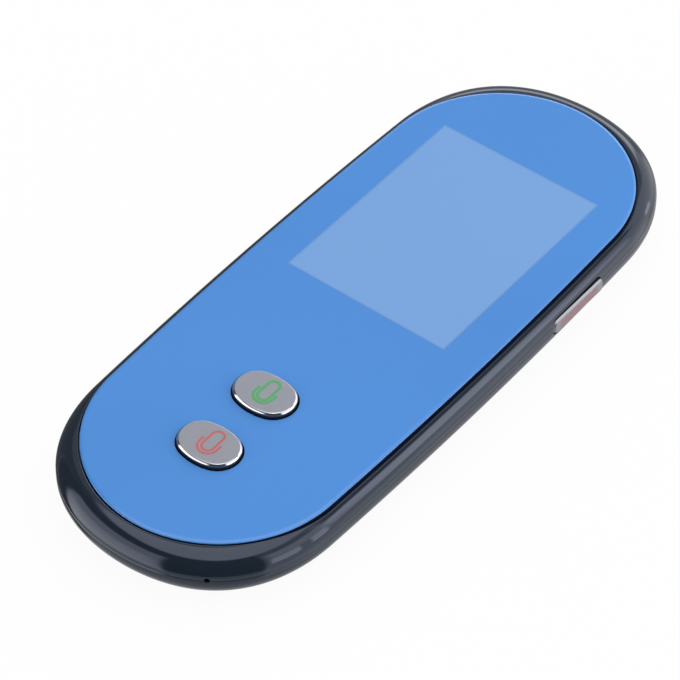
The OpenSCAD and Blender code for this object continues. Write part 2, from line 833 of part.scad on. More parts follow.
module loudspeaker() {
    frame_top = speaker_z + speaker_size[2] * speaker_frame;
    color([0.2, 0.2, 0.2]) {
        difference() {
            speaker_block(0, speaker_z, frame_top);
            speaker_block(speaker_edge, speaker_z - past, speaker_z + cone_room);
        }
        speaker_block(1.2 * speaker_edge, frame_top - e, speaker_z + speaker_size[2]);
    }
}

module speaker_gasket() {
    color([0.1, 0.1, 0.1]) difference() {
        speaker_block(0, wall + mesh_t, speaker_z);
        speaker_block(speaker_edge, wall, speaker_z + past);
    }
}

module speaker_mesh() {
    color([0.3, 0.3, 0.3]) speaker_block(0, wall, wall + mesh_t);
}

module speaker_contacts() {
    color("gold") for (s = [-1, 1])
        translate([s * contact_x - contact_size[0] / 2, speaker_y - contact_size[1] / 2,
                   speaker_z + speaker_size[2]])
            cube([contact_size[0], contact_size[1], board_z - speaker_z - speaker_size[2]]);
}

module battery_tape() {
    color("white") translate([-battery_w / 2 + battery_tape_edge[0],
                              battery_low + battery_tape_edge[1], wall])
        cube([battery_w - 2 * battery_tape_edge[0], battery_l - 2 * battery_tape_edge[1],
              battery_tape_t]);
}

module battery_pouch() {
    r = battery_t / 2;
    x = battery_w / 2 - r;
    z = wall + battery_tape_t;
    color([0.78, 0.78, 0.8]) translate([0, battery_top, z + r]) rotate([90, 0, 0])
        linear_extrude(battery_l - strip_l) {
            for (s = [-1, 1]) translate([s * x, 0]) circle(r);
            translate([-x, -r]) square([2 * x, 2 * r]);
        }
}

module battery_strip() {
    color([0.8, 0.65, 0.1])
        translate([-battery_w / 2 + strip_side, battery_low, wall + battery_tape_t + strip_edge])
            cube([battery_w - 2 * strip_side, strip_l, battery_t - 2 * strip_edge]);
}

module battery_socket() {
    color("ivory") translate([-socket_size[0] / 2, battery_low - lead_l - socket_size[1],
                              board_z - socket_size[2]]) cube(socket_size);
}

module battery_leads() {
    color("firebrick") for (s = [-1, 1])
        translate([s * lead_x, battery_low, board_z - fit_gap - lead_d]) rotate([90, 0, 0])
            cylinder(d = lead_d, h = lead_l, $fn = 24);
}

module case_screws() {
    color([0.5, 0.5, 0.52]) for (p = screws) translate([p[0], p[1], head_z]) difference() {
        union() {
            cylinder(d = head_d, h = head_h);
            cylinder(d = screw_d, h = screw_end - head_z);
        }
        for (a = [0, 90]) rotate(a)
            translate([-slot_size[0] / 2, -slot_size[1] / 2, -past])
                cube([slot_size[0], slot_size[1], slot_size[2] + past]);
    }
}

back_cover();
front_shell();
cover_glass();
glass_adhesive();
display_tape();
lcd_panel();
backlight_tray();
display_flex();
flex_connector();
upper_key_cap();
upper_key_carrier();
upper_key_plunger();
upper_key_switch();
lower_key_cap();
lower_key_carrier();
lower_key_plunger();
lower_key_switch();
power_key();
power_key_inlay();
power_plunger();
power_switch();
main_board();
processor();
memory_chip();
shield_can();
radio_module();
board_components();
usb_shell();
usb_tongue();
microphone();
microphone_boot();
loudspeaker();
speaker_gasket();
speaker_mesh();
speaker_contacts();
battery_pouch();
battery_strip();
battery_tape();
battery_leads();
battery_socket();
case_screws();
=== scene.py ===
"""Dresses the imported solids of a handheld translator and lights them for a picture.

The device lies on its back: +Z is the glass side, +Y the display end, +X the side of
the power key. The solids stay where the model puts them. The two shells, the cover
glass, the talk keys and the inlay of the power key get fuller pieces that stand for
them. The talk keys also get printed signs, and every piece gets its own finish.
"""

import math

import bmesh
import bpy
from mathutils import Matrix, Vector


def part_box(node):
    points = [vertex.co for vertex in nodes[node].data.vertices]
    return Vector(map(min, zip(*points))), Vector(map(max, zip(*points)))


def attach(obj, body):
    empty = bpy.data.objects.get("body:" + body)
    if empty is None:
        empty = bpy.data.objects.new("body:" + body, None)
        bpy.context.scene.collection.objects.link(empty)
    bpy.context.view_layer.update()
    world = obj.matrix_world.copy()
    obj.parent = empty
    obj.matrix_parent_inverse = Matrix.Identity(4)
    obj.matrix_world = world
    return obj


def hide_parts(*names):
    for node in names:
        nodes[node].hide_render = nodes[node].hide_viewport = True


bl_info = {
    "name": "Handheld Translator",
    "version": (1, 0, 0),
    "blender": (4, 5, 0),
    "location": "View3D > Sidebar > Translator",
    "description": "Finishes, prints and studio for the handheld translator",
    "category": "Object",
}

MM = 0.001

# Sizes that the solids fix and no setting changes
TAPE = 0.15 * MM  # between the glass and the floor of its recess
WEB = 1.2 * MM  # plate of the upper shell under that tape
SEAM_LIP = 0.8 * MM  # from the lowest point of the upper shell to the seam
SEAM_EDGE = ((0, 1), (0.3, 0.3), (1, 0))  # in and down, as shares of the seam bevel
WINDOW = (33.9 * MM, 45.2 * MM)  # lit area of the display
WINDOW_DROP = 2.6 * MM  # from the upper edge of the display to its lit area
SKIRT_STEP = 0.1 * MM  # how far the skirt of a talk key stands out from its cap
FLANGE_PLAY = 1.5 * MM  # from the glass down to the flange that holds a talk key
FLANGE = 0.8 * MM  # thickness of that flange
STUB = 1.25 * MM  # radius of the stub under it
POWER_Z = 7.4 * MM  # height of the middle of the power key
POWER_HALF = 1.5 * MM  # half the height of its face
POWER_CORNER = 1.1 * MM  # radius of the corners of its face
POWER_FLANGE = 1 * MM  # how far its hidden flange reaches past each end of the face
POWER_BORDER = 0.37 * MM  # bright metal round its inlay
SCREW_HEAD = 1.6 * MM  # radius of a screw head
SCREW_RECESS = 1.25 * MM  # depth of its recess
LOWER_SCREW_X = 9.5 * MM  # of the two screws at the end of the keys
GRILLE_PITCH = 1.7 * MM
GRILLE_HOLE = 0.5 * MM  # radius
PIN_HOLE = 0.5 * MM  # radius of the microphone's hole on the seam
PIN_TURN = -53.5  # bearing of that hole, in degrees
CAMERA_PLACE = (264.06 * MM, -341.93 * MM, 447.68 * MM)
CAMERA_LOOK = (-0.43167, 0.54657, -0.71758)

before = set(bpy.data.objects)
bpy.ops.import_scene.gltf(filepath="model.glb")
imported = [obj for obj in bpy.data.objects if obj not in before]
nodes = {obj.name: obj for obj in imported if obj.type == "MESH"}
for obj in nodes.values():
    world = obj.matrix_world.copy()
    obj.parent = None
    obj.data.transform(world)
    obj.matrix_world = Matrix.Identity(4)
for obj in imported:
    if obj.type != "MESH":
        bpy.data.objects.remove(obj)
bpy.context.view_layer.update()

back_low, back_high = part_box("back_cover")
front_low, front_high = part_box("front_shell")
glass_low, glass_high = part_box("cover_glass")
power_low, power_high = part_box("power_key")
panel_low, panel_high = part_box("lcd_panel")
usb_low, usb_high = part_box("usb_shell")
mesh_low, mesh_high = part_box("speaker_mesh")
screws_low, screws_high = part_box("case_screws")


def size(name, description, default):
    """A length, in metres, that a user may change."""
    return bpy.props.FloatProperty(
        name=name, description=description, default=default, unit="LENGTH"
    )


def paint(name, description, default):
    """A colour that a user may change."""
    return bpy.props.FloatVectorProperty(
        name=name,
        description=description,
        default=default,
        size=len(default),
        min=0,
        max=1,
        subtype="COLOR",
    )


class HousingSettings(bpy.types.PropertyGroup):
    """Sizes and colour of the two moulded shells"""

    width: size("Width", "Across the two bowed long sides", back_high.x - back_low.x)
    length: size("Length", "From end to end", -2 * front_low.y)
    side_radius: size("Side radius", "Radius of the bow of the long sides", 1044 * MM)
    shoulder: size("Shoulder", "Radius of the edge between seam and glass", 3.9 * MM)
    underside: size("Underside", "Height of the rounded edge above the back", 6.5 * MM)
    draw_in: size("Draw-in", "How far that edge draws in towards the back", 10.3 * MM)
    lip: size("Lip", "Rounding of the upper shell beside the glass", 0.3 * MM)
    fullness: size("Corner fullness", "How much the corners stand out", 0.75 * MM)
    wall: size("Wall", "Thickness of both shells", 1.7 * MM)
    seam: size("Seam bevel", "Bevel on both shells where they meet", 0.14 * MM)
    colour: paint("Colour", "Blue-black of the moulding", (0.012, 0.019, 0.030))


class GlassSettings(bpy.types.PropertyGroup):
    """Sizes and colours of the cover glass"""

    gap: size("Gap", "Between the glass and its recess", 0.15 * MM)
    round_in: size("Edge width", "Width of the rounded upper edge", 0.72 * MM)
    round_down: size("Edge drop", "Height of the rounded upper edge", 0.34 * MM)
    print_colour: paint("Print", "Blue printed behind the glass", (0.071, 0.262, 0.669))
    window_colour: paint("Window", "Paler blue of the window", (0.179, 0.362, 0.693))
    edge_colour: paint("Ground edge", "Navy side of the glass", (0.006, 0.012, 0.040))
    window_border: size("Window border", "Faint line round the window", 0.25 * MM)


class KeySettings(bpy.types.PropertyGroup):
    """Sizes of the two talk keys"""

    length: size("Length", "Across the housing", 11.76 * MM)
    height: size("Height", "Along the housing", 8.7 * MM)
    bow: size("Bow", "Radius of the two bowed long sides", 10 * MM)
    bevel: size("Bevel", "Width of the polished edge of the cap", 0.36 * MM)
    clearance: size("Clearance", "Between a skirt and its opening", 0.25 * MM)


class SignSettings(bpy.types.PropertyGroup):
    """Printed microphone signs on the talk keys"""

    answer_colour: paint("Upper sign", "Green of the upper sign", (0.080, 0.34, 0.13))
    speak_colour: paint("Lower sign", "Red of the lower sign", (0.50, 0.10, 0.095))
    answer_line: size("Upper line", "Line width of the green sign", 0.56 * MM)
    speak_line: size("Lower line", "Line width of the red sign", 0.40 * MM)
    ink: size("Ink thickness", "How far the print stands above the cap", 0.02 * MM)


class StudioSettings(bpy.types.PropertyGroup):
    """Floor, level of the light and camera"""

    floor_size: size("Floor", "Side of the square floor", 6.0)
    lens: bpy.props.FloatProperty(
        name="Lens",
        description="Focal length on a 36 mm sensor",
        default=188.83,
        unit="CAMERA",
    )
    walls: bpy.props.FloatProperty(
        name="Walls",
        description="Level of the studio between its panels and screens",
        default=0.6,
        min=0,
    )
    tint: paint("Tint", "Colour of the studio light", (0.985, 0.985, 1.0, 1.0))


# Light panels and dark screens of the studio: name, bearings and heights of their edges
# in degrees, level of light, and softness of the edges in degrees
PANELS = (
    ("pale wall", 30, 136, -48, 50, 1.3, 4),
    ("far floor", 62, 100, -50, -14, 0.7, 8),
    ("dark far floor", 97, 160, -50, 11, 0.42, 4),
    ("right floor", 28, 62, -50, -26, 0.85, 6),
    ("right floor glow", 30, 60, -28, 4, 1.5, 7),
    ("right screen", 34, 56, 28, 47, 0.2, 3),
    ("glow beside the glass", 50, 92, 46, 58, 0.8, 3),
    ("far strip", 104, 150, 17, 34, 3.4, 3),
    ("dark left", -181, -158, -55, 56, 0.08, 4),
    ("dark far left", 138, 181, -48, 56, 0.14, 4),
    ("left panel", -157, -92, -38, 33, 1.5, 3),
    ("left panel core", -153, -96, -30, 10, 2.3, 8),
    ("left screen", -160, -88, 36, 56, 0.08, 3),
    ("camera screen", -90, -16, -28, 56, 0.04, 3),
    ("right wall", -15, 31, -50, 40, 1.1, 3),
    ("upper right wall", -11, 30, 17, 39, 1.8, 2),
    ("low window", -12, 8, -8, 15, 2.9, 1.5),
    ("narrow window", 15.5, 25.5, -7, 17, 3.0, 1.5),
    ("strip light", 28, 41, 2, 30, 3.4, 4),
    ("end window", 61, 69, -4, 9, 3.0, 1.5),
    ("glass screen", 96, 160, 34, 57, 0.5, 5),
    ("top softbox", None, None, 57, None, 1.9, 3),
)

# Geometry


def round_end(width, length, radius):
    """Radius of a bowed oval's ends, and how far their centres are from its middle."""
    end_radius = (length**2 / 4 + width**2 / 4 - radius * width) / (length - 2 * radius)
    return end_radius, length / 2 - end_radius


def bowed_oval(width, length, radius, side_steps, end_steps, fullness=0.0):
    """Points and normals of an outline with two bowed sides and two fuller ends."""
    end_radius, end_y = round_end(width, length, radius)
    lean = math.atan2(end_y, radius - width / 2)
    half = []
    for i in range(side_steps):
        turn = lean * (2 * i / side_steps - 1)
        normal = Vector((math.cos(turn), math.sin(turn)))
        half.append((Vector((width / 2 - radius, 0)) + radius * normal, normal))
    for i in range(end_steps):
        turn = lean + (math.pi - 2 * lean) * i / end_steps
        normal = Vector((math.cos(turn), math.sin(turn)))
        out = end_radius + fullness * math.sin(math.tau * i / end_steps) ** 2
        half.append((Vector((0, end_y)) + out * normal, normal))
    return half + [(-p, -n) for p, n in half]


def straight_oval(width, length):
    """Points and outward normals of an oval with straight long sides along X."""
    radius, half, steps = length / 2, (width - length) / 2, 32
    points = []
    for side, centre in ((-90, half), (90, -half)):
        for i in range(steps + 1):
            turn = math.radians(side + 180 * i / steps)
            normal = Vector((math.cos(turn), math.sin(turn)))
            points.append((Vector((centre, 0)) + radius * normal, normal))
    return points


def ring(outline, inset, z):
    """One ring of a loft: the outline drawn in by one inset, or by one per point."""
    insets = inset if isinstance(inset, list) else [inset] * len(outline)
    heights = z if isinstance(z, list) else [z] * len(outline)
    return [
        Vector((*(p - d * n), h))
        for (p, n), d, h in zip(outline, insets, heights, strict=True)
    ]


def loft(rings):
    """Skins the rings, from the lowest to the last, and closes both ends."""
    bm = bmesh.new()
    rows = [[bm.verts.new(p) for p in points] for points in rings]
    for low, high in zip(rows, rows[1:]):
        for i, vert in enumerate(low):
            j = (i + 1) % len(low)
            bm.faces.new((vert, low[j], high[j], high[i]))
    bm.faces.new(reversed(rows[0]))
    bm.faces.new(rows[-1])
    bmesh.ops.recalc_face_normals(bm, faces=bm.faces)
    return bm


def prism(points, start, end, place=None):
    """Extrudes a flat outline from start to end along Z, then places it."""
    bm = loft([[Vector((p.x, p.y, z)) for p in points] for z in (start, end)])
    if place is not None:
        bm.transform(place)
    return bm


def round_bar(radius, start, end, place=None, steps=48):
    """A round bar along Z."""
    turns = [math.tau * i / steps for i in range(steps)]
    points = [radius * Vector((math.cos(t), math.sin(t))) for t in turns]
    return prism(points, start, end, place)


def placed(name, data):
    """Puts an object with this mesh or camera into the scene."""
    made = bpy.data.objects.new(name, data)
    bpy.context.scene.collection.objects.link(made)
    return made


def smooth(mesh, sharp):
    """Smooth shading, except along edges sharper than the angle."""
    mesh.shade_smooth()
    mesh.set_sharp_from_angle(angle=math.radians(sharp))


def finished(name, bm):
    """Ends the editing of a mesh."""
    mesh = bpy.data.meshes.new(name)
    bm.to_mesh(mesh)
    bm.free()
    return mesh


def piece(name, bm, sharp=35):
    """Makes an object from the mesh."""
    mesh = finished(name, bm)
    smooth(mesh, sharp)
    return placed(name, mesh)


def merged(meshes):
    """Joins several meshes into one."""
    joined = bmesh.new()
    for bm in meshes:
        mesh = finished("part", bm)
        joined.from_mesh(mesh)
        bpy.data.meshes.remove(mesh)
    return joined


def cut(target, cutters, sharp=35):
    """Cuts closed meshes, which don't touch each other, out of an object."""
    tool_mesh = finished("cutter", merged(cutters))
    tool = placed("cutter", tool_mesh)
    carve = target.modifiers.new("Cut", "BOOLEAN")
    carve.operation = "DIFFERENCE"
    carve.solver = "EXACT"
    carve.object = tool
    graph = bpy.context.evaluated_depsgraph_get()
    carved = bpy.data.meshes.new_from_object(target.evaluated_get(graph))
    if not carved.polygons:
        raise RuntimeError(f"nothing is left of {target.name} after its cuts")
    target.modifiers.clear()
    target.data = carved
    smooth(carved, sharp)
    bpy.data.objects.remove(tool)
    bpy.data.meshes.remove(tool_mesh)


def stroke(path, width, closed=False):
    """The outline of a line of even width along a flat path, as (left, right) pairs."""
    pairs = []
    count = len(path)
    for i, point in enumerate(path):
        before = path[(i - 1) % count] if closed or i else point
        after = path[(i + 1) % count] if closed or i < count - 1 else point
        along = (after - before).normalized()
        across = Vector((-along.y, along.x)) * width / 2
        pairs.append((point + across, point - across))
    return pairs


def inked(pairs, z, thickness, closed=False):
    """A printed line: a thin strip of ink between the pairs."""
    bm = bmesh.new()
    top = z + thickness
    rows = []
    for left, right in pairs:
        corners = ((left, z), (left, top), (right, top), (right, z))
        rows.append([bm.verts.new((*point, height)) for point, height in corners])
    links = list(zip(rows, rows[1:])) + ([(rows[-1], rows[0])] if closed else [])
    for low, high in links:
        for i in range(4):
            j = (i + 1) % 4
            bm.faces.new((low[i], low[j], high[j], high[i]))
    if not closed:
        bm.faces.new(rows[0])
        bm.faces.new(rows[-1])
    bmesh.ops.recalc_face_normals(bm, faces=bm.faces)
    return bm


def arc(centre, radius, start, end, steps=24):
    """Points of a flat arc, in degrees."""
    turns = [math.radians(start + (end - start) * i / steps) for i in range(steps + 1)]
    return [centre + radius * Vector((math.cos(t), math.sin(t))) for t in turns]


# Finishes


class Tree:
    """Adds nodes to the tree of a material or of the world."""

    def __init__(self, owner):
        owner.use_nodes = True
        self.tree = owner.node_tree

    def feed(self, socket, value):
        """Sets a socket to a value, or links it to the output that feeds it."""
        if isinstance(value, bpy.types.NodeSocket):
            self.tree.links.new(value, socket)
        else:
            socket.default_value = value

    def add(self, kind, inputs=None, **settings):
        """Adds a node; an input is a value or the output that feeds it."""
        node = self.tree.nodes.new(kind)
        for name, value in settings.items():
            setattr(node, name, value)
        for socket, value in (inputs or {}).items():
            self.feed(node.inputs[socket], value)
        return node

    def math(self, operation, first, second=0.0):
        """The result of a Math node."""
        node = self.add("ShaderNodeMath", {0: first, 1: second}, operation=operation)
        return node.outputs[0]

    def spread(self, value, low, high, to_low, to_high, smooth=False):
        """Maps a value from one range to another."""
        inputs = {"Value": value, "From Min": low, "From Max": high}
        return self.add(
            "ShaderNodeMapRange",
            {**inputs, "To Min": to_low, "To Max": to_high},
            interpolation_type="SMOOTHSTEP" if smooth else "LINEAR",
        ).outputs["Result"]

    def axes(self, place):
        """X, Y and Z of a place."""
        return self.add("ShaderNodeSeparateXYZ", {"Vector": place}).outputs


class Finish(Tree):
    """One procedural material, built around a Principled shader."""

    def __init__(self, name, surface=None):
        self.material = bpy.data.materials.new(name)
        super().__init__(self.material)
        self.shader = self.tree.nodes["Principled BSDF"]
        for socket, value in (surface or {}).items():
            self.shader.inputs[socket].default_value = value
        self.place = self.add("ShaderNodeTexCoord").outputs["Object"]

    def stretched(self, scale):
        """The place on the piece, stretched by three factors."""
        return self.add(
            "ShaderNodeMapping", {"Vector": self.place, "Scale": scale}
        ).outputs[0]

    def noise(self, grain, detail=3.0, roughness=0.55, place=None):
        """Soft noise whose blotches are about grain across."""
        inputs = {"Scale": 1 / grain, "Detail": detail, "Roughness": roughness}
        return self.add(
            "ShaderNodeTexNoise", {"Vector": place or self.place, **inputs}
        ).outputs["Fac"]

    def wave(self, value, pitch):
        """A sine wave along a value."""
        return self.math("SINE", self.math("MULTIPLY", value, math.tau / pitch))

    def blend(self, factor, first, second):
        """Mixes two colours."""
        mix = self.add("ShaderNodeMix", data_type="RGBA")
        for index, value in ((0, factor), (6, first), (7, second)):
            fed = isinstance(value, bpy.types.NodeSocket)
            if not fed and hasattr(value, "__len__"):
                value = (*value, 1.0)
            self.feed(mix.inputs[index], value)
        return mix.outputs[2]

    def shades(self, factor, colour, first, second):
        """Mixes two shades of one colour."""
        return self.blend(factor, shade(colour, first), shade(colour, second))

    def colour(self, value):
        self.feed(self.shader.inputs["Base Color"], value)

    def roughness(self, value):
        self.feed(self.shader.inputs["Roughness"], value)

    def dull(self, noise, low, high):
        """Roughness that follows a noise from low to high."""
        self.roughness(self.spread(noise, 0.3, 0.7, low, high))

    def bump(self, height, distance, strength=1.0):
        """Raises the surface by distance where height is 1, and closes the material."""
        raised = {"Height": height, "Distance": distance, "Strength": strength}
        node = self.add("ShaderNodeBump", raised)
        self.feed(self.shader.inputs["Normal"], node.outputs[0])
        return self.material


def shade(colour, factor):
    """A colour made lighter or darker."""
    return tuple(min(1.0, c * factor) for c in colour)


def moulded(name, colour, gloss=0.4, grain=0.25 * MM, relief=4e-6, spread=0.12):
    """Moulded plastic or rubber: even colour with a fine grain."""
    finish = Finish(name)
    fine = finish.noise(grain)
    broad = finish.noise(40 * grain, 2.0)
    finish.colour(finish.shades(broad, colour, 1 - spread, 1 + spread))
    finish.dull(fine, gloss - 0.05, gloss + 0.05)
    return finish.bump(fine, relief)


def glossy_moulding(name, colour):
    """High-gloss housing plastic: faint orange peel, dust and hairline scuffs."""
    # The specular tint paints a blue cast into the reflections of the plastic.
    sheen = {"Specular IOR Level": 0.6, "Specular Tint": (0.74, 0.80, 1.0, 1.0)}
    finish = Finish(name, sheen)
    peel = finish.noise(2.2 * MM, 2.0, 0.4)
    dust = finish.noise(0.22 * MM, 4.0, 0.7)
    scuff = finish.noise(1.2 * MM, 5.0, 0.7, finish.stretched((1, 0.08, 1)))
    worn = finish.spread(scuff, 0.62, 0.74, 0.0, 1.0)
    finish.colour(finish.shades(finish.noise(9 * MM, 2.0), colour, 0.85, 1.2))
    clean = finish.spread(dust, 0.35, 0.75, 0.045, 0.085)
    finish.roughness(finish.math("ADD", clean, finish.math("MULTIPLY", worn, 0.05)))
    return finish.bump(peel, 1.2e-6, 0.6)


def brushed(name, colour, direction=(0.03, 1, 1), gloss=0.32):
    """Metal brushed along one direction, with slightly duller blotches."""
    finish = Finish(name, {"Metallic": 1.0})
    lines = finish.noise(0.1 * MM, 4.0, 0.6, finish.stretched(direction))
    finish.colour(finish.shades(lines, colour, 0.88, 1.08))
    base = finish.spread(lines, 0.3, 0.7, gloss - 0.06, gloss + 0.06)
    blotch = finish.spread(finish.noise(3 * MM, 2.0), 0.4, 0.7, -0.02, 0.04)
    finish.roughness(finish.math("ADD", base, blotch))
    return finish.bump(lines, 2e-6)


def bright_face(name, colour, face_x):
    """Brushed metal on the face and bevel of the power key, with painted shade on its
    flanks.
    """
    finish = Finish(name, {"Metallic": 1.0})
    lines = finish.noise(0.1 * MM, 4.0, 0.6, finish.stretched((1, 0.04, 1)))
    x = finish.axes(finish.place)[0]
    # Painted shade: the flanks behind the bevel sit in the gap round the key and are
    # coloured near black.
    flank_shade = finish.spread(x, face_x - 0.36 * MM, face_x - 0.33 * MM, 1.0, 0.0)
    metal = finish.shades(lines, colour, 0.88, 1.08)
    finish.colour(finish.blend(flank_shade, metal, (0.015, 0.016, 0.02)))
    finish.dull(lines, 0.36, 0.48)
    return finish.bump(lines, 2e-6)


def satin(name, colour, gloss, polished_below):
    """Bead-blasted and anodised metal with a very fine sparkle and a polished edge."""
    finish = Finish(name, {"Metallic": 1.0})
    bead = finish.noise(0.09 * MM, 3.0, 0.7)
    face = finish.shades(finish.noise(2.5 * MM, 2.0), colour, 0.95, 1.05)
    even = finish.spread(bead, 0.3, 0.7, gloss - 0.05, gloss + 0.05)
    z = finish.axes(finish.place)[2]
    edge = polished_below - 0.02 * MM
    polished = finish.spread(z, edge, edge + 0.01 * MM, 1.0, 0.0)
    finish.colour(finish.blend(polished, face, (0.80, 0.80, 0.83)))
    shine = finish.math("MULTIPLY", polished, gloss - 0.12)
    finish.roughness(finish.math("SUBTRACT", even, shine))
    return finish.bump(bead, 2.5e-6)


def printed_glass(name, settings, window):
    """Glass printed blue behind, with a paler display window and a navy ground edge."""
    finish = Finish(name, {"IOR": 1.5})
    x, y, z = finish.axes(finish.place)
    (left, low), (right, high) = window

    def beyond(value, start, end):
        """How far a value is outside a range, or below zero inside it."""
        off = finish.math("ABSOLUTE", finish.math("SUBTRACT", value, (start + end) / 2))
        return finish.math("SUBTRACT", off, (end - start) / 2)

    outside = finish.math("MAXIMUM", beyond(x, left, right), beyond(y, low, high))
    soft, border = 0.06 * MM, settings.window_border
    inside = finish.spread(outside, -soft, soft, 1.0, 0.0)
    near_edge = finish.spread(outside, -border - soft, -border, 0.0, 1.0)
    line = finish.math("MULTIPLY", inside, near_edge)
    cloud = finish.noise(45 * MM, 1.0, 0.4)
    blue = finish.shades(cloud, settings.print_colour, 0.93, 1.05)
    pale = finish.shades(cloud, settings.window_colour, 0.97, 1.04)
    face = finish.blend(inside, blue, pale)
    face = finish.blend(line, face, shade(settings.window_colour, 0.88))
    top = glass_high.z
    side = finish.spread(z, top - 0.34 * MM, top - 0.24 * MM, 1.0, 0.0)
    finish.colour(finish.blend(side, face, settings.edge_colour))
    smudge = finish.noise(7 * MM, 3.0, 0.6)
    finish.roughness(finish.spread(smudge, 0.45, 0.8, 0.03, 0.075))
    return finish.bump(finish.noise(16 * MM, 1.0), 0.8e-6, 0.4)


def knurled(name, colour, metal, pitch, middle, half):
    """Dull coloured metal crossed by fine lines, with painted shade in their grooves
    and a painted highlight on their ridges, fading into a bright border.
    """
    finish = Finish(name)
    _, y, z = finish.axes(finish.place)
    waves = [finish.wave(finish.math(s, y, z), pitch) for s in ("ADD", "SUBTRACT")]
    height = finish.spread(finish.math("MAXIMUM", *waves), 0.0, 1.0, 0.0, 1.0)
    worn = finish.noise(0.6 * MM, 3.0)
    ends = finish.math("ABSOLUTE", finish.math("SUBTRACT", y, middle.y))
    edge = finish.math("ABSOLUTE", finish.math("SUBTRACT", z, middle.z))
    dyed = finish.math(
        "MULTIPLY",
        finish.spread(ends, half.x - 1.3 * MM, half.x, 1.0, 0.0, True),
        finish.spread(edge, half.y - 0.12 * MM, half.y, 1.0, 0.0, True),
    )
    # Painted shade in the grooves of the lines and a painted highlight on their ridges.
    groove_shade = finish.shades(worn, colour, 0.78, 0.9)
    lines = finish.blend(height, groove_shade, shade(colour, 1.12))
    finish.colour(finish.blend(dyed, finish.shades(worn, metal, 0.92, 1.08), lines))
    shine = finish.spread(dyed, 0.0, 1.0, 1.0, 0.2)
    finish.feed(finish.shader.inputs["Metallic"], shine)
    finish.dull(worn, 0.36, 0.46)
    return finish.bump(finish.math("MULTIPLY", height, dyed), 0.012 * MM)


def woven(name, colour, pitch):
    """Fine wire cloth: two crossing sets of round wires, with painted shade where a
    wire dips under and a painted highlight where it lies on top.
    """
    finish = Finish(name, {"Metallic": 0.8})
    x, y, _ = finish.axes(finish.place)
    crossed = finish.math("MULTIPLY", finish.wave(x, pitch), finish.wave(y, pitch))
    over = finish.spread(crossed, -1.0, 1.0, 0.0, 1.0)
    # Painted shade and highlight: darker where a wire dips under, lighter where it lies
    # on top.
    finish.colour(finish.shades(over, colour, 0.35, 1.3))
    finish.dull(finish.noise(0.3 * MM), 0.4, 0.55)
    return finish.bump(over, 0.05 * MM)


def circuit_board(name, colour):
    """Solder mask over fine copper tracks, with a slightly glossy lacquer."""
    finish = Finish(name)
    bricks = finish.add(
        "ShaderNodeTexBrick",
        {
            "Vector": finish.place,
            "Scale": 1 / (6 * MM),
            "Color1": (1, 1, 1, 1),
            "Color2": (1, 1, 1, 1),
            "Mortar": (0, 0, 0, 1),
            "Mortar Size": 0.02,
            "Brick Width": 0.9,
            "Row Height": 0.22,
        },
    ).outputs["Fac"]
    track = finish.spread(bricks, 0.3, 0.7, 0.0, 1.0)
    tone = finish.noise(5 * MM)
    base = finish.shades(tone, colour, 0.85, 1.1)
    finish.colour(finish.blend(track, base, shade(colour, 1.7)))
    finish.dull(tone, 0.28, 0.38)
    return finish.bump(track, 0.02 * MM)


def foil(name, colour):
    """Soft laminate foil with shallow creases."""
    finish = Finish(name, {"Metallic": 0.85})
    creases = finish.add(
        "ShaderNodeTexVoronoi",
        {"Vector": finish.place, "Scale": 1 / (5 * MM)},
        feature="DISTANCE_TO_EDGE",
    ).outputs["Distance"]
    mottle = finish.noise(0.8 * MM)
    finish.colour(finish.shades(mottle, colour, 0.9, 1.06))
    finish.dull(mottle, 0.34, 0.46)
    return finish.bump(finish.spread(creases, 0.0, 0.12, 1.0, 0.0), 0.015 * MM)


def ribbon(name, colour, pitch):
    """Amber film with copper lines running along it."""
    finish = Finish(name)
    wave = finish.wave(finish.axes(finish.place)[0], pitch)
    line = finish.spread(wave, 0.0, 0.5, 0.0, 1.0)
    tone = finish.noise(1.5 * MM)
    film = finish.shades(tone, colour, 0.85, 1.1)
    finish.colour(finish.blend(line, film, (0.62, 0.30, 0.12)))
    finish.dull(tone, 0.3, 0.4)
    return finish.bump(line, 0.02 * MM)


def display_stack(name, colour):
    """Display glass with a faint pixel grid."""
    finish = Finish(name)
    x, y, _ = finish.axes(finish.place)
    pixel = 0.14 * MM
    grid = finish.math("MAXIMUM", finish.wave(x, pixel), finish.wave(y, pixel))
    cell = finish.spread(grid, 0.6, 1.0, 0.0, 1.0)
    finish.colour(finish.blend(cell, colour, shade(colour, 0.75)))
    finish.dull(finish.noise(4 * MM), 0.06, 0.12)
    return finish.bump(cell, 0.004 * MM)


def dress(material, *names):
    """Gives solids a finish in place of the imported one."""
    for name in names:
        for held in nodes[name].material_slots:
            held.material = material


def coat(made, material):
    """Gives a made piece its one finish."""
    made.data.materials.clear()
    made.data.materials.append(material)


# Pieces


def body_outline(housing, side_steps, end_steps):
    """The outline of both shells at the seam."""
    shape = (housing.width, housing.length, housing.side_radius)
    return bowed_oval(*shape, side_steps, end_steps, housing.fullness)


def glass_outline(housing, gap=0.0):
    """The outline of the cover glass, or of its recess, which is a gap wider."""
    margin = housing.width / 2 - glass_high.x
    return bowed_oval(
        2 * (glass_high.x + gap),
        2 * (glass_high.y + gap),
        housing.side_radius - margin + gap,
        60,
        120,
    )


def power_outline(half_y, half_z, radius):
    """A rounded rectangle, drawn as the power key is seen from its side."""
    y, z = half_y - radius, half_z - radius
    corners = ((y, z, 0), (-y, z, 90), (-y, -z, 180), (y, -z, 270))
    return [
        point
        for a, b, turn in corners
        for point in arc(Vector((a, b)), radius, turn, turn + 90, 8)
    ]


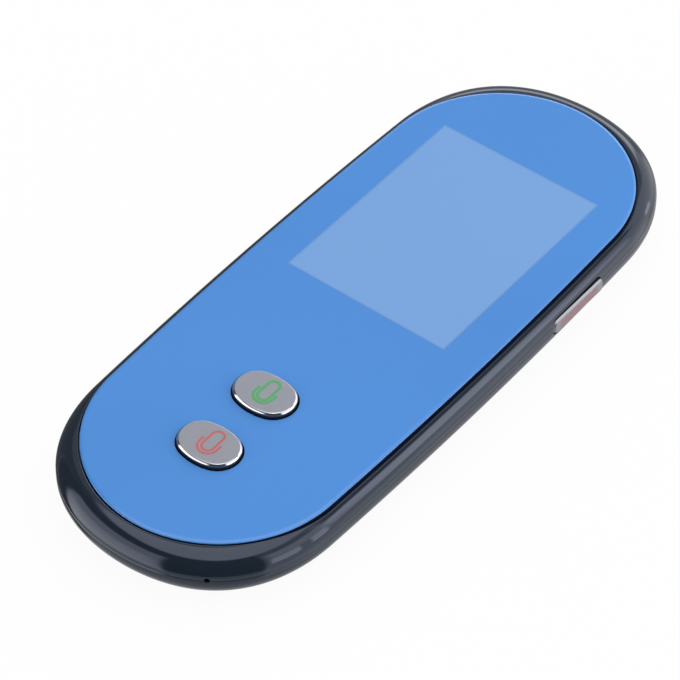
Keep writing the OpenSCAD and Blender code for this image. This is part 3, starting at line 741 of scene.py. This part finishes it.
def at_power_key():
    """Turns a Y-Z outline to the power key's place, with Z along +X."""
    middle = Vector((0, (power_low.y + power_high.y) / 2, POWER_Z))
    return Matrix.Translation(middle) @ Matrix(
        ((0, 0, 1, 0), (1, 0, 0, 0), (0, 1, 0, 0), (0, 0, 0, 1))
    )


def power_cutter(gap, start, end):
    """The power key's rounded outline, grown by a gap and driven through the side."""
    half_y = (power_high.y - power_low.y) / 2 - POWER_FLANGE + gap
    outline = power_outline(half_y, POWER_HALF + gap, POWER_CORNER + gap)
    return prism(outline, start, end, at_power_key())


def key_outline(keys):
    """Points and normals of a talk key's outline, its long sides bowed, along X."""
    outline = bowed_oval(keys.height, keys.length, keys.bow, 24, 40)
    return [(Vector((p.y, -p.x)), Vector((n.y, -n.x))) for p, n in outline]


def side_openings(housing):
    """What the power key, the pin hole and the socket cut out of both shells."""
    end_radius, end_y = round_end(housing.width, housing.length, housing.side_radius)
    aim = (
        Matrix.Translation((0, -end_y, back_high.z))
        @ Matrix.Rotation(math.radians(PIN_TURN), 4, "Z")
        @ Matrix.Rotation(math.radians(90), 4, "Y")
    )
    pin = round_bar(PIN_HOLE, end_radius - 2 * MM, end_radius + 2 * MM, aim, 32)
    play = 0.4 * MM
    usb = straight_oval(usb_high.x - usb_low.x + play, usb_high.z - usb_low.z + play)
    usb_middle = (0, housing.length / 2, (usb_low.z + usb_high.z) / 2)
    upright = Matrix.Translation(usb_middle) @ Matrix.Rotation(math.radians(90), 4, "X")
    socket = prism([p for p, _ in usb], -1 * MM, 5 * MM, upright)
    side_x = housing.width / 2
    side = power_cutter(0.15 * MM, side_x - 3.4 * MM, side_x + MM)
    return [side, pin, socket]


def key_holes(keys, start, end):
    """The openings of both talk keys."""
    outline = key_outline(keys)
    grown = -SKIRT_STEP - keys.clearance
    holes = []
    for name in ("upper_key_cap", "lower_key_cap"):
        low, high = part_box(name)
        hole = loft([ring(outline, grown, z) for z in (start, end)])
        hole.transform(Matrix.Translation((0, (low.y + high.y) / 2, 0)))
        holes.append(hole)
    return holes


def inset_to(outline, other):
    """For each point of an outline, how far in another outline crosses its normal."""
    points = [p for p, _ in other]
    found = []
    for p, n in outline:
        best = None
        for a, b in zip(points, points[1:] + points[:1]):
            edge = b - a
            across = n.x * edge.y - n.y * edge.x
            if abs(across) < 1e-12:
                continue
            gap = p - a
            along = (n.x * gap.y - n.y * gap.x) / across
            if -1e-6 <= along <= 1 + 1e-6:
                inward = (p - (a + along * edge)).dot(n)
                if inward > 0 and (best is None or inward < best):
                    best = inward
        found.append(best)
    return found


class TRANSLATOR_OT_back_cover(bpy.types.Operator):
    """Make the smooth lower shell with its grille, screw recesses and openings"""

    bl_idname = "translator.back_cover"
    bl_label = "Back Cover"

    def execute(self, context):
        housing = context.scene.translator_housing
        outline = body_outline(housing, 40, 80)
        seam_z, wall = back_high.z, housing.wall
        turns = [math.pi / 2 * i / 20 for i in range(21)]

        def lower_ring(turn, inset):
            return ring(
                outline,
                inset + (housing.draw_in - inset) * (1 - math.sin(turn)),
                inset + (housing.underside - inset) * (1 - math.cos(turn)),
            )

        rings = [lower_ring(t, 0.0) for t in turns]
        for inset, drop in SEAM_EDGE:
            z = seam_z - drop * housing.seam
            rings.append(ring(outline, inset * housing.seam, z))
        rings.append(ring(outline, wall, seam_z))
        rings += [lower_ring(t, wall) for t in reversed(turns[::4])]
        shell = piece("back_cover_skin", loft(rings))
        mesh_y = (mesh_low.y + mesh_high.y) / 2
        grille = [
            (column * GRILLE_PITCH, mesh_y + row * GRILLE_PITCH, 0)
            for column in range(-3, 4)
            for row in range(-2, 3)
            if abs(column) < 3 or abs(row) < 2
        ]
        cutters = [
            round_bar(GRILLE_HOLE, -MM, wall + MM, Matrix.Translation(hole), 20)
            for hole in grille
        ]
        upper_x, upper_y = screws_high.x - SCREW_HEAD, screws_high.y - SCREW_HEAD
        lower_y = screws_low.y + SCREW_HEAD
        for x, y in ((upper_x, upper_y), (LOWER_SCREW_X, lower_y)):
            for side in (x, -x):
                place = Matrix.Translation((side, y, 0))
                radius = SCREW_HEAD + 0.1 * MM
                cutters.append(round_bar(radius, -MM, SCREW_RECESS, place))
        cut(shell, cutters + side_openings(housing))
        coat(shell, glossy_moulding("shell_gloss", tuple(housing.colour)))
        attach(shell, "housing")
        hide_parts("back_cover")
        return {"FINISHED"}


class TRANSLATOR_OT_front_shell(bpy.types.Operator):
    """Make the smooth upper shell with its rounded shoulder and glass recess"""

    bl_idname = "translator.front_shell"
    bl_label = "Front Shell"

    def execute(self, context):
        housing = context.scene.translator_housing
        outline = body_outline(housing, 60, 120)
        gap = context.scene.translator_glass.gap
        depth = inset_to(outline, glass_outline(housing, gap))
        seam_z, radius, lip = front_low.z + SEAM_LIP, housing.shoulder, housing.lip
        start_z = front_high.z - radius
        rings = [ring(outline, housing.wall, seam_z)]
        for inset, rise in reversed(SEAM_EDGE):
            z = seam_z + rise * housing.seam
            rings.append(ring(outline, inset * housing.seam, z))
        reach = radius - lip
        limits = [math.acos((radius + lip - d) / reach) for d in depth]
        for i in range(1, 23):
            turns = [t * i / 22 for t in limits]
            insets = [radius * (1 - math.cos(t)) for t in turns]
            heights = [start_z + radius * math.sin(t) for t in turns]
            rings.append(ring(outline, insets, heights))
        for i in range(1, 9):
            pairs = [(t, t + (math.pi - t) * i / 8) for t in limits]
            insets = [
                radius - reach * math.cos(t) - lip * math.cos(u) for t, u in pairs
            ]
            heights = [
                start_z + reach * math.sin(t) + lip * math.sin(u) for t, u in pairs
            ]
            rings.append(ring(outline, insets, heights))
        ledge_z = glass_low.z - TAPE
        rings.append(ring(outline, depth, ledge_z))
        shell = piece("front_shell_skin", loft(rings))
        web_z = ledge_z - WEB
        hollow = [p - housing.wall * n for p, n in body_outline(housing, 30, 60)]
        play = 0.3 * MM
        left, right = panel_low.x - play, panel_high.x + play
        low, high = panel_low.y - play, panel_high.y + play
        corners = ((left, low), (right, low), (right, high), (left, high))
        screen = [Vector(corner) for corner in corners]
        cut(shell, [prism(hollow, seam_z - MM, web_z)])
        cut(shell, [prism(screen, web_z - MM, ledge_z + MM)])
        holes = key_holes(context.scene.translator_keys, web_z - MM, ledge_z + MM)
        cut(shell, holes + side_openings(housing))
        coat(shell, bpy.data.materials["shell_gloss"])
        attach(shell, "housing")
        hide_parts("front_shell")
        return {"FINISHED"}


class TRANSLATOR_OT_cover_glass(bpy.types.Operator):
    """Make the cover glass with its ground edge, blue print and display window"""

    bl_idname = "translator.cover_glass"
    bl_label = "Cover Glass"

    def execute(self, context):
        housing = context.scene.translator_housing
        settings = context.scene.translator_glass
        outline = glass_outline(housing)
        rings = [ring(outline, 0.0, glass_low.z)]
        for i in range(13):
            turn = math.pi / 2 * i / 12
            inset = settings.round_in * (1 - math.cos(turn))
            drop = settings.round_down * (1 - math.sin(turn))
            rings.append(ring(outline, inset, glass_high.z - drop))
        pane = piece("cover_glass_pane", loft(rings), 60)
        keys = context.scene.translator_keys
        cut(pane, key_holes(keys, glass_low.z - MM, glass_high.z + MM), 60)
        half, top = WINDOW[0] / 2, panel_high.y - WINDOW_DROP
        window = ((-half, top - WINDOW[1]), (half, top))
        coat(pane, printed_glass("printed_glass", settings, window))
        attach(pane, "housing")
        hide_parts("cover_glass")
        dress(moulded("black_film", (0.008, 0.008, 0.009), 0.55), "glass_adhesive")
        foam = moulded("foam_tape", (0.02, 0.02, 0.022), 0.85, 0.15 * MM, 3e-5)
        dress(foam, "display_tape")
        return {"FINISHED"}


class TRANSLATOR_OT_talk_keys(bpy.types.Operator):
    """Make the talk keys, each a metal cap with a printed sign on a black skirt"""

    bl_idname = "translator.talk_keys"
    bl_label = "Talk Keys"

    def execute(self, context):
        keys = context.scene.translator_keys
        signs = context.scene.translator_signs
        cap_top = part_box("upper_key_cap")[1].z
        metal = satin("key_satin", (0.33, 0.342, 0.385), 0.36, cap_top)
        black = moulded("key_black", (0.012, 0.014, 0.022), 0.22, 0.5 * MM, 1e-6)
        nylon = moulded("nylon", (0.72, 0.72, 0.70), 0.45)
        dress(nylon, "upper_key_plunger", "lower_key_plunger", "power_plunger")
        switch = moulded("switch_body", (0.05, 0.05, 0.055), 0.5, 0.2 * MM, 1e-5)
        dress(switch, "upper_key_switch", "lower_key_switch", "power_switch")
        for which in ("upper", "lower"):
            self.cap(which, keys, metal)
            self.skirt(which, keys, black)
        self.sign("upper", signs.answer_line, signs.answer_colour, signs.ink)
        self.sign("lower", signs.speak_line, signs.speak_colour, signs.ink)
        return {"FINISHED"}

    def cap(self, which, keys, metal):
        """The metal cap, with a bevel whose two edges are eased."""
        low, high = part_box(f"{which}_key_cap")
        outline = key_outline(keys)
        bevel, ease = keys.bevel, 0.09 * keys.bevel
        profile = (
            (0, low.z),
            (0, high.z - bevel),
            (ease, high.z - bevel + 2 * ease),
            (bevel - 2 * ease, high.z - ease),
            (bevel, high.z),
            (1.2 * bevel, high.z),
        )
        bm = loft([ring(outline, inset, z) for inset, z in profile])
        bm.transform(Matrix.Translation((0, (low.y + high.y) / 2, 0)))
        cap = piece(f"{which}_key_metal", bm)
        coat(cap, metal)
        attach(cap, f"{which}_talk_key")
        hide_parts(f"{which}_key_cap")

    def skirt(self, which, keys, black):
        """The black skirt under the cap, its retaining flange and its stub."""
        low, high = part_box(f"{which}_key_carrier")
        cap_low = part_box(f"{which}_key_cap")[0]
        flange_top = glass_low.z - FLANGE_PLAY
        flange_low = flange_top - FLANGE
        outline = key_outline(keys)
        flange = [p for p, _ in straight_oval(high.x - low.x, high.y - low.y)]
        sunk = flange_top - 0.01 * MM
        parts = [
            loft([ring(outline, -SKIRT_STEP, z) for z in (sunk, cap_low.z)]),
            prism(flange, flange_low, flange_top),
            round_bar(STUB, low.z, flange_low + 0.4 * MM),
        ]
        bm = merged(parts)
        bm.transform(Matrix.Translation((0, (low.y + high.y) / 2, 0)))
        skirt = piece(f"{which}_key_skirt", bm)
        coat(skirt, black)
        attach(skirt, f"{which}_talk_key")
        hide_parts(f"{which}_key_carrier")

    def sign(self, which, line, colour, ink):
        """A microphone: an upright capsule in a cradle, open towards the display."""
        low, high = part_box(f"{which}_key_cap")
        middle = Vector((0.3 * MM, (low.y + high.y) / 2))
        capsule_r, reach, cradle_r = 1.12 * MM, 1.28 * MM, 1.85 * MM
        head = middle + Vector((0, 0.6 * MM))
        capsule = arc(head + Vector((0, reach)), capsule_r, 0, 180)
        capsule += arc(head - Vector((0, reach)), capsule_r, 180, 360)
        cradle_c = middle - Vector((0, 0.65 * MM))
        cradle = [cradle_c + Vector((-cradle_r, 1.1 * MM))]
        cradle += arc(cradle_c, cradle_r, 180, 360, 32)
        cradle.append(cradle_c + Vector((cradle_r, 1.1 * MM)))
        lines = [
            inked(stroke(capsule, line, True), high.z, ink, True),
            inked(stroke(cradle, line), high.z, ink),
        ]
        sign = piece(f"{which}_key_sign", merged(lines))
        coat(sign, moulded(f"{which}_ink", tuple(colour), 0.5, 0.15 * MM, 3e-6, 0.15))
        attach(sign, f"{which}_talk_key")


class TRANSLATOR_OT_power_key(bpy.types.Operator):
    """Finish the power key and make the crossed red inlay in its face"""

    bl_idname = "translator.power_key"
    bl_label = "Power Key"

    def execute(self, context):
        metal = (0.34, 0.345, 0.37)
        dress(bright_face("power_bright", metal, power_high.x), "power_key")
        low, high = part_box("power_key_inlay")
        half_y = (power_high.y - power_low.y) / 2 - POWER_FLANGE - POWER_BORDER
        half_z = POWER_HALF - POWER_BORDER
        corner, spare, pitch = POWER_CORNER - 0.35 * MM, 0.02 * MM, 0.26 * MM
        face = power_outline(half_y, half_z, corner)
        bed_y, bed_z = (high.y - low.y) / 2 - spare, (high.z - low.z) / 2 - spare
        bed = power_outline(bed_y, bed_z, 0.1 * MM)
        place = at_power_key()
        parts = [
            prism(bed, low.x, high.x, place),
            prism(face, high.x, high.x + 0.03 * MM, place),
        ]
        inlay = piece("power_key_strip", merged(parts))
        half = Vector((half_y - corner, half_z - 0.1 * MM))
        red = (0.33, 0.19, 0.215)
        coat(inlay, knurled("power_red", red, metal, pitch, place.translation, half))
        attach(inlay, "power_button")
        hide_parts("power_key_inlay")
        return {"FINISHED"}


class TRANSLATOR_OT_display(bpy.types.Operator):
    """Finish the display, its tray and its ribbon"""

    bl_idname = "translator.display"
    bl_label = "Display"

    def execute(self, context):
        dress(display_stack("display_glass", (0.20, 0.40, 0.75)), "lcd_panel")
        dress(brushed("tray_steel", (0.72, 0.72, 0.74)), "backlight_tray")
        dress(ribbon("amber_ribbon", (0.50, 0.22, 0.04), 0.5 * MM), "display_flex")
        ivory = moulded("ivory_plastic", (0.66, 0.60, 0.46), 0.45)
        dress(ivory, "flex_connector", "battery_socket")
        return {"FINISHED"}


class TRANSLATOR_OT_electronics(bpy.types.Operator):
    """Finish the main board, its chips and its shielding"""

    bl_idname = "translator.electronics"
    bl_label = "Electronics"

    def execute(self, context):
        dress(circuit_board("solder_mask", (0.02, 0.16, 0.07)), "main_board")
        chip = moulded("chip_black", (0.02, 0.02, 0.023), 0.5, 0.1 * MM, 6e-6)
        dress(chip, "processor", "memory_chip", "usb_tongue")
        tinned = brushed("tinned_sheet", (0.68, 0.68, 0.70), (1, 0.05, 1), 0.36)
        dress(tinned, "shield_can", "radio_module")
        ceramic = moulded("ceramic_brown", (0.33, 0.22, 0.13), 0.4, 0.3 * MM, 8e-6, 0.3)
        dress(ceramic, "board_components")
        return {"FINISHED"}


class TRANSLATOR_OT_sound(bpy.types.Operator):
    """Finish the loudspeaker, its mesh and the microphone"""

    bl_idname = "translator.sound"
    bl_label = "Sound"

    def execute(self, context):
        dress(woven("wire_cloth", (0.20, 0.20, 0.21), 0.35 * MM), "speaker_mesh")
        dress(moulded("speaker_frame", (0.04, 0.04, 0.045), 0.5), "loudspeaker")
        foam = moulded("soft_foam", (0.02, 0.02, 0.02), 0.9, 0.2 * MM, 5e-5)
        dress(foam, "speaker_gasket")
        gold = brushed("gold_spring", (0.83, 0.62, 0.24), (1, 0.1, 1), 0.25)
        dress(gold, "speaker_contacts")
        dress(moulded("silicone", (0.015, 0.015, 0.016), 0.6), "microphone_boot")
        dress(brushed("spun_can", (0.74, 0.74, 0.74), (1, 1, 0.05), 0.3), "microphone")
        return {"FINISHED"}


class TRANSLATOR_OT_battery(bpy.types.Operator):
    """Finish the battery, its tape and its leads"""

    bl_idname = "translator.battery"
    bl_label = "Battery"

    def execute(self, context):
        dress(foil("laminate_foil", (0.62, 0.63, 0.66)), "battery_pouch")
        dress(moulded("yellow_tape", (0.62, 0.40, 0.03), 0.35), "battery_strip")
        dress(moulded("pull_tape", (0.75, 0.75, 0.74), 0.5), "battery_tape")
        dress(moulded("lead_red", (0.40, 0.02, 0.02), 0.4), "battery_leads")
        return {"FINISHED"}


class TRANSLATOR_OT_hardware(bpy.types.Operator):
    """Finish the socket shell and the housing screws"""

    bl_idname = "translator.hardware"
    bl_label = "Hardware"

    def execute(self, context):
        nickel = brushed("socket_nickel", (0.74, 0.74, 0.76), (1, 0.05, 1), 0.26)
        dress(nickel, "usb_shell")
        zinc = brushed("screw_zinc", (0.42, 0.42, 0.44), (1, 1, 0.1), 0.34)
        dress(zinc, "case_screws")
        return {"FINISHED"}


class TRANSLATOR_OT_studio(bpy.types.Operator):
    """Set up the pale floor, the light panels and the camera"""

    bl_idname = "translator.studio"
    bl_label = "Studio"

    def execute(self, context):
        studio = context.scene.translator_studio
        context.scene.view_settings.view_transform = "Standard"
        self.floor(studio)
        self.room(context.scene, studio)
        self.camera(context.scene, studio)
        return {"FINISHED"}

    def floor(self, studio):
        """A pale floor that the camera sees as white paper, with a faint shadow."""
        bm = bmesh.new()
        half = studio.floor_size / 2
        bmesh.ops.create_grid(bm, x_segments=1, y_segments=1, size=half)
        floor = piece("floor", bm)
        floor.location.z = -0.02 * MM
        matt = {"Base Color": (0.86, 0.86, 0.86, 1), "Roughness": 0.9}
        paper = Finish("white_paper", matt)
        glow = paper.add("ShaderNodeEmission", {"Color": (1, 1, 1, 1)}).outputs[0]
        seen = paper.add("ShaderNodeLightPath").outputs["Is Camera Ray"]
        share = paper.math("MULTIPLY", seen, 0.95)
        shaders = {0: share, 1: paper.shader.outputs[0], 2: glow}
        mix = paper.add("ShaderNodeMixShader", shaders).outputs[0]
        paper.feed(paper.tree.nodes["Material Output"].inputs["Surface"], mix)
        coat(floor, paper.material)
        floor.visible_glossy = False

    def room(self, scene, studio):
        """Soft light panels and dark screens all round, white to the camera."""
        scene.world = bpy.data.worlds.new("studio")
        room = Tree(scene.world)
        room.tree.nodes.clear()
        place = room.add("ShaderNodeTexCoord").outputs["Generated"]
        east, north, height = room.axes(place)
        bearing = room.math("ARCTAN2", north, east)

        def rise(degrees):
            return math.sin(math.radians(degrees))

        light = studio.walls
        for _, left, right, bottom, top, level, soft in PANELS:
            mask = 1.0
            for value, scale, limit, low, high in (
                (bearing, math.radians, left, 0, 1),
                (bearing, math.radians, right, 1, 0),
                (height, rise, bottom, 0, 1),
                (height, rise, top, 1, 0),
            ):
                if limit is not None:
                    start, end = scale(limit - soft), scale(limit + soft)
                    edge = room.spread(value, start, end, low, high, True)
                    mask = room.math("MULTIPLY", mask, edge)
            mix = room.add("ShaderNodeMix", {"Factor": mask, "A": light, "B": level})
            light = mix.outputs["Result"]
        lit = room.add("ShaderNodeBackground", {0: studio.tint, 1: light}).outputs[0]
        white = room.add("ShaderNodeBackground", {0: (1, 1, 1, 1), 1: 1.0}).outputs[0]
        seen = room.add("ShaderNodeLightPath").outputs["Is Camera Ray"]
        mix = room.add("ShaderNodeMixShader", {0: seen, 1: lit, 2: white}).outputs[0]
        room.add("ShaderNodeOutputWorld", {"Surface": mix})

    def camera(self, scene, studio):
        """The photograph's view, from the lower right and above."""
        data = bpy.data.cameras.new("camera")
        data.lens = studio.lens
        data.sensor_width = 36
        data.clip_end = 20
        camera = placed("camera", data)
        camera.location = CAMERA_PLACE
        camera.rotation_euler = Vector(CAMERA_LOOK).to_track_quat("-Z", "Y").to_euler()
        scene.camera = camera


class TRANSLATOR_PT_panel(bpy.types.Panel):
    """The steps that dress the translator, in order"""

    bl_label = "Handheld Translator"
    bl_space_type = "VIEW_3D"
    bl_region_type = "UI"
    bl_category = "Translator"

    def draw(self, context):
        layout = self.layout
        for group in SETTINGS:
            box = layout.box()
            settings = getattr(context.scene, group)
            for name in settings.__annotations__:
                box.prop(settings, name)
        for step in STEPS:
            layout.operator(step.bl_idname)


SETTINGS = {
    "translator_housing": HousingSettings,
    "translator_glass": GlassSettings,
    "translator_keys": KeySettings,
    "translator_signs": SignSettings,
    "translator_studio": StudioSettings,
}

STEPS = (
    TRANSLATOR_OT_back_cover,
    TRANSLATOR_OT_front_shell,
    TRANSLATOR_OT_cover_glass,
    TRANSLATOR_OT_talk_keys,
    TRANSLATOR_OT_power_key,
    TRANSLATOR_OT_display,
    TRANSLATOR_OT_electronics,
    TRANSLATOR_OT_sound,
    TRANSLATOR_OT_battery,
    TRANSLATOR_OT_hardware,
    TRANSLATOR_OT_studio,
)


def register():
    for name, group in SETTINGS.items():
        bpy.utils.register_class(group)
        setattr(bpy.types.Scene, name, bpy.props.PointerProperty(type=group))
    for step in STEPS:
        bpy.utils.register_class(step)
    bpy.utils.register_class(TRANSLATOR_PT_panel)


def unregister():
    bpy.utils.unregister_class(TRANSLATOR_PT_panel)
    for step in reversed(STEPS):
        bpy.utils.unregister_class(step)
    for name, group in reversed(SETTINGS.items()):
        delattr(bpy.types.Scene, name)
        bpy.utils.unregister_class(group)


def main():
    register()
    bpy.ops.translator.back_cover()
    bpy.ops.translator.front_shell()
    bpy.ops.translator.cover_glass()
    bpy.ops.translator.talk_keys()
    bpy.ops.translator.power_key()
    bpy.ops.translator.display()
    bpy.ops.translator.electronics()
    bpy.ops.translator.sound()
    bpy.ops.translator.battery()
    bpy.ops.translator.hardware()
    bpy.ops.translator.studio()


if __name__ == "__main__":
    main()
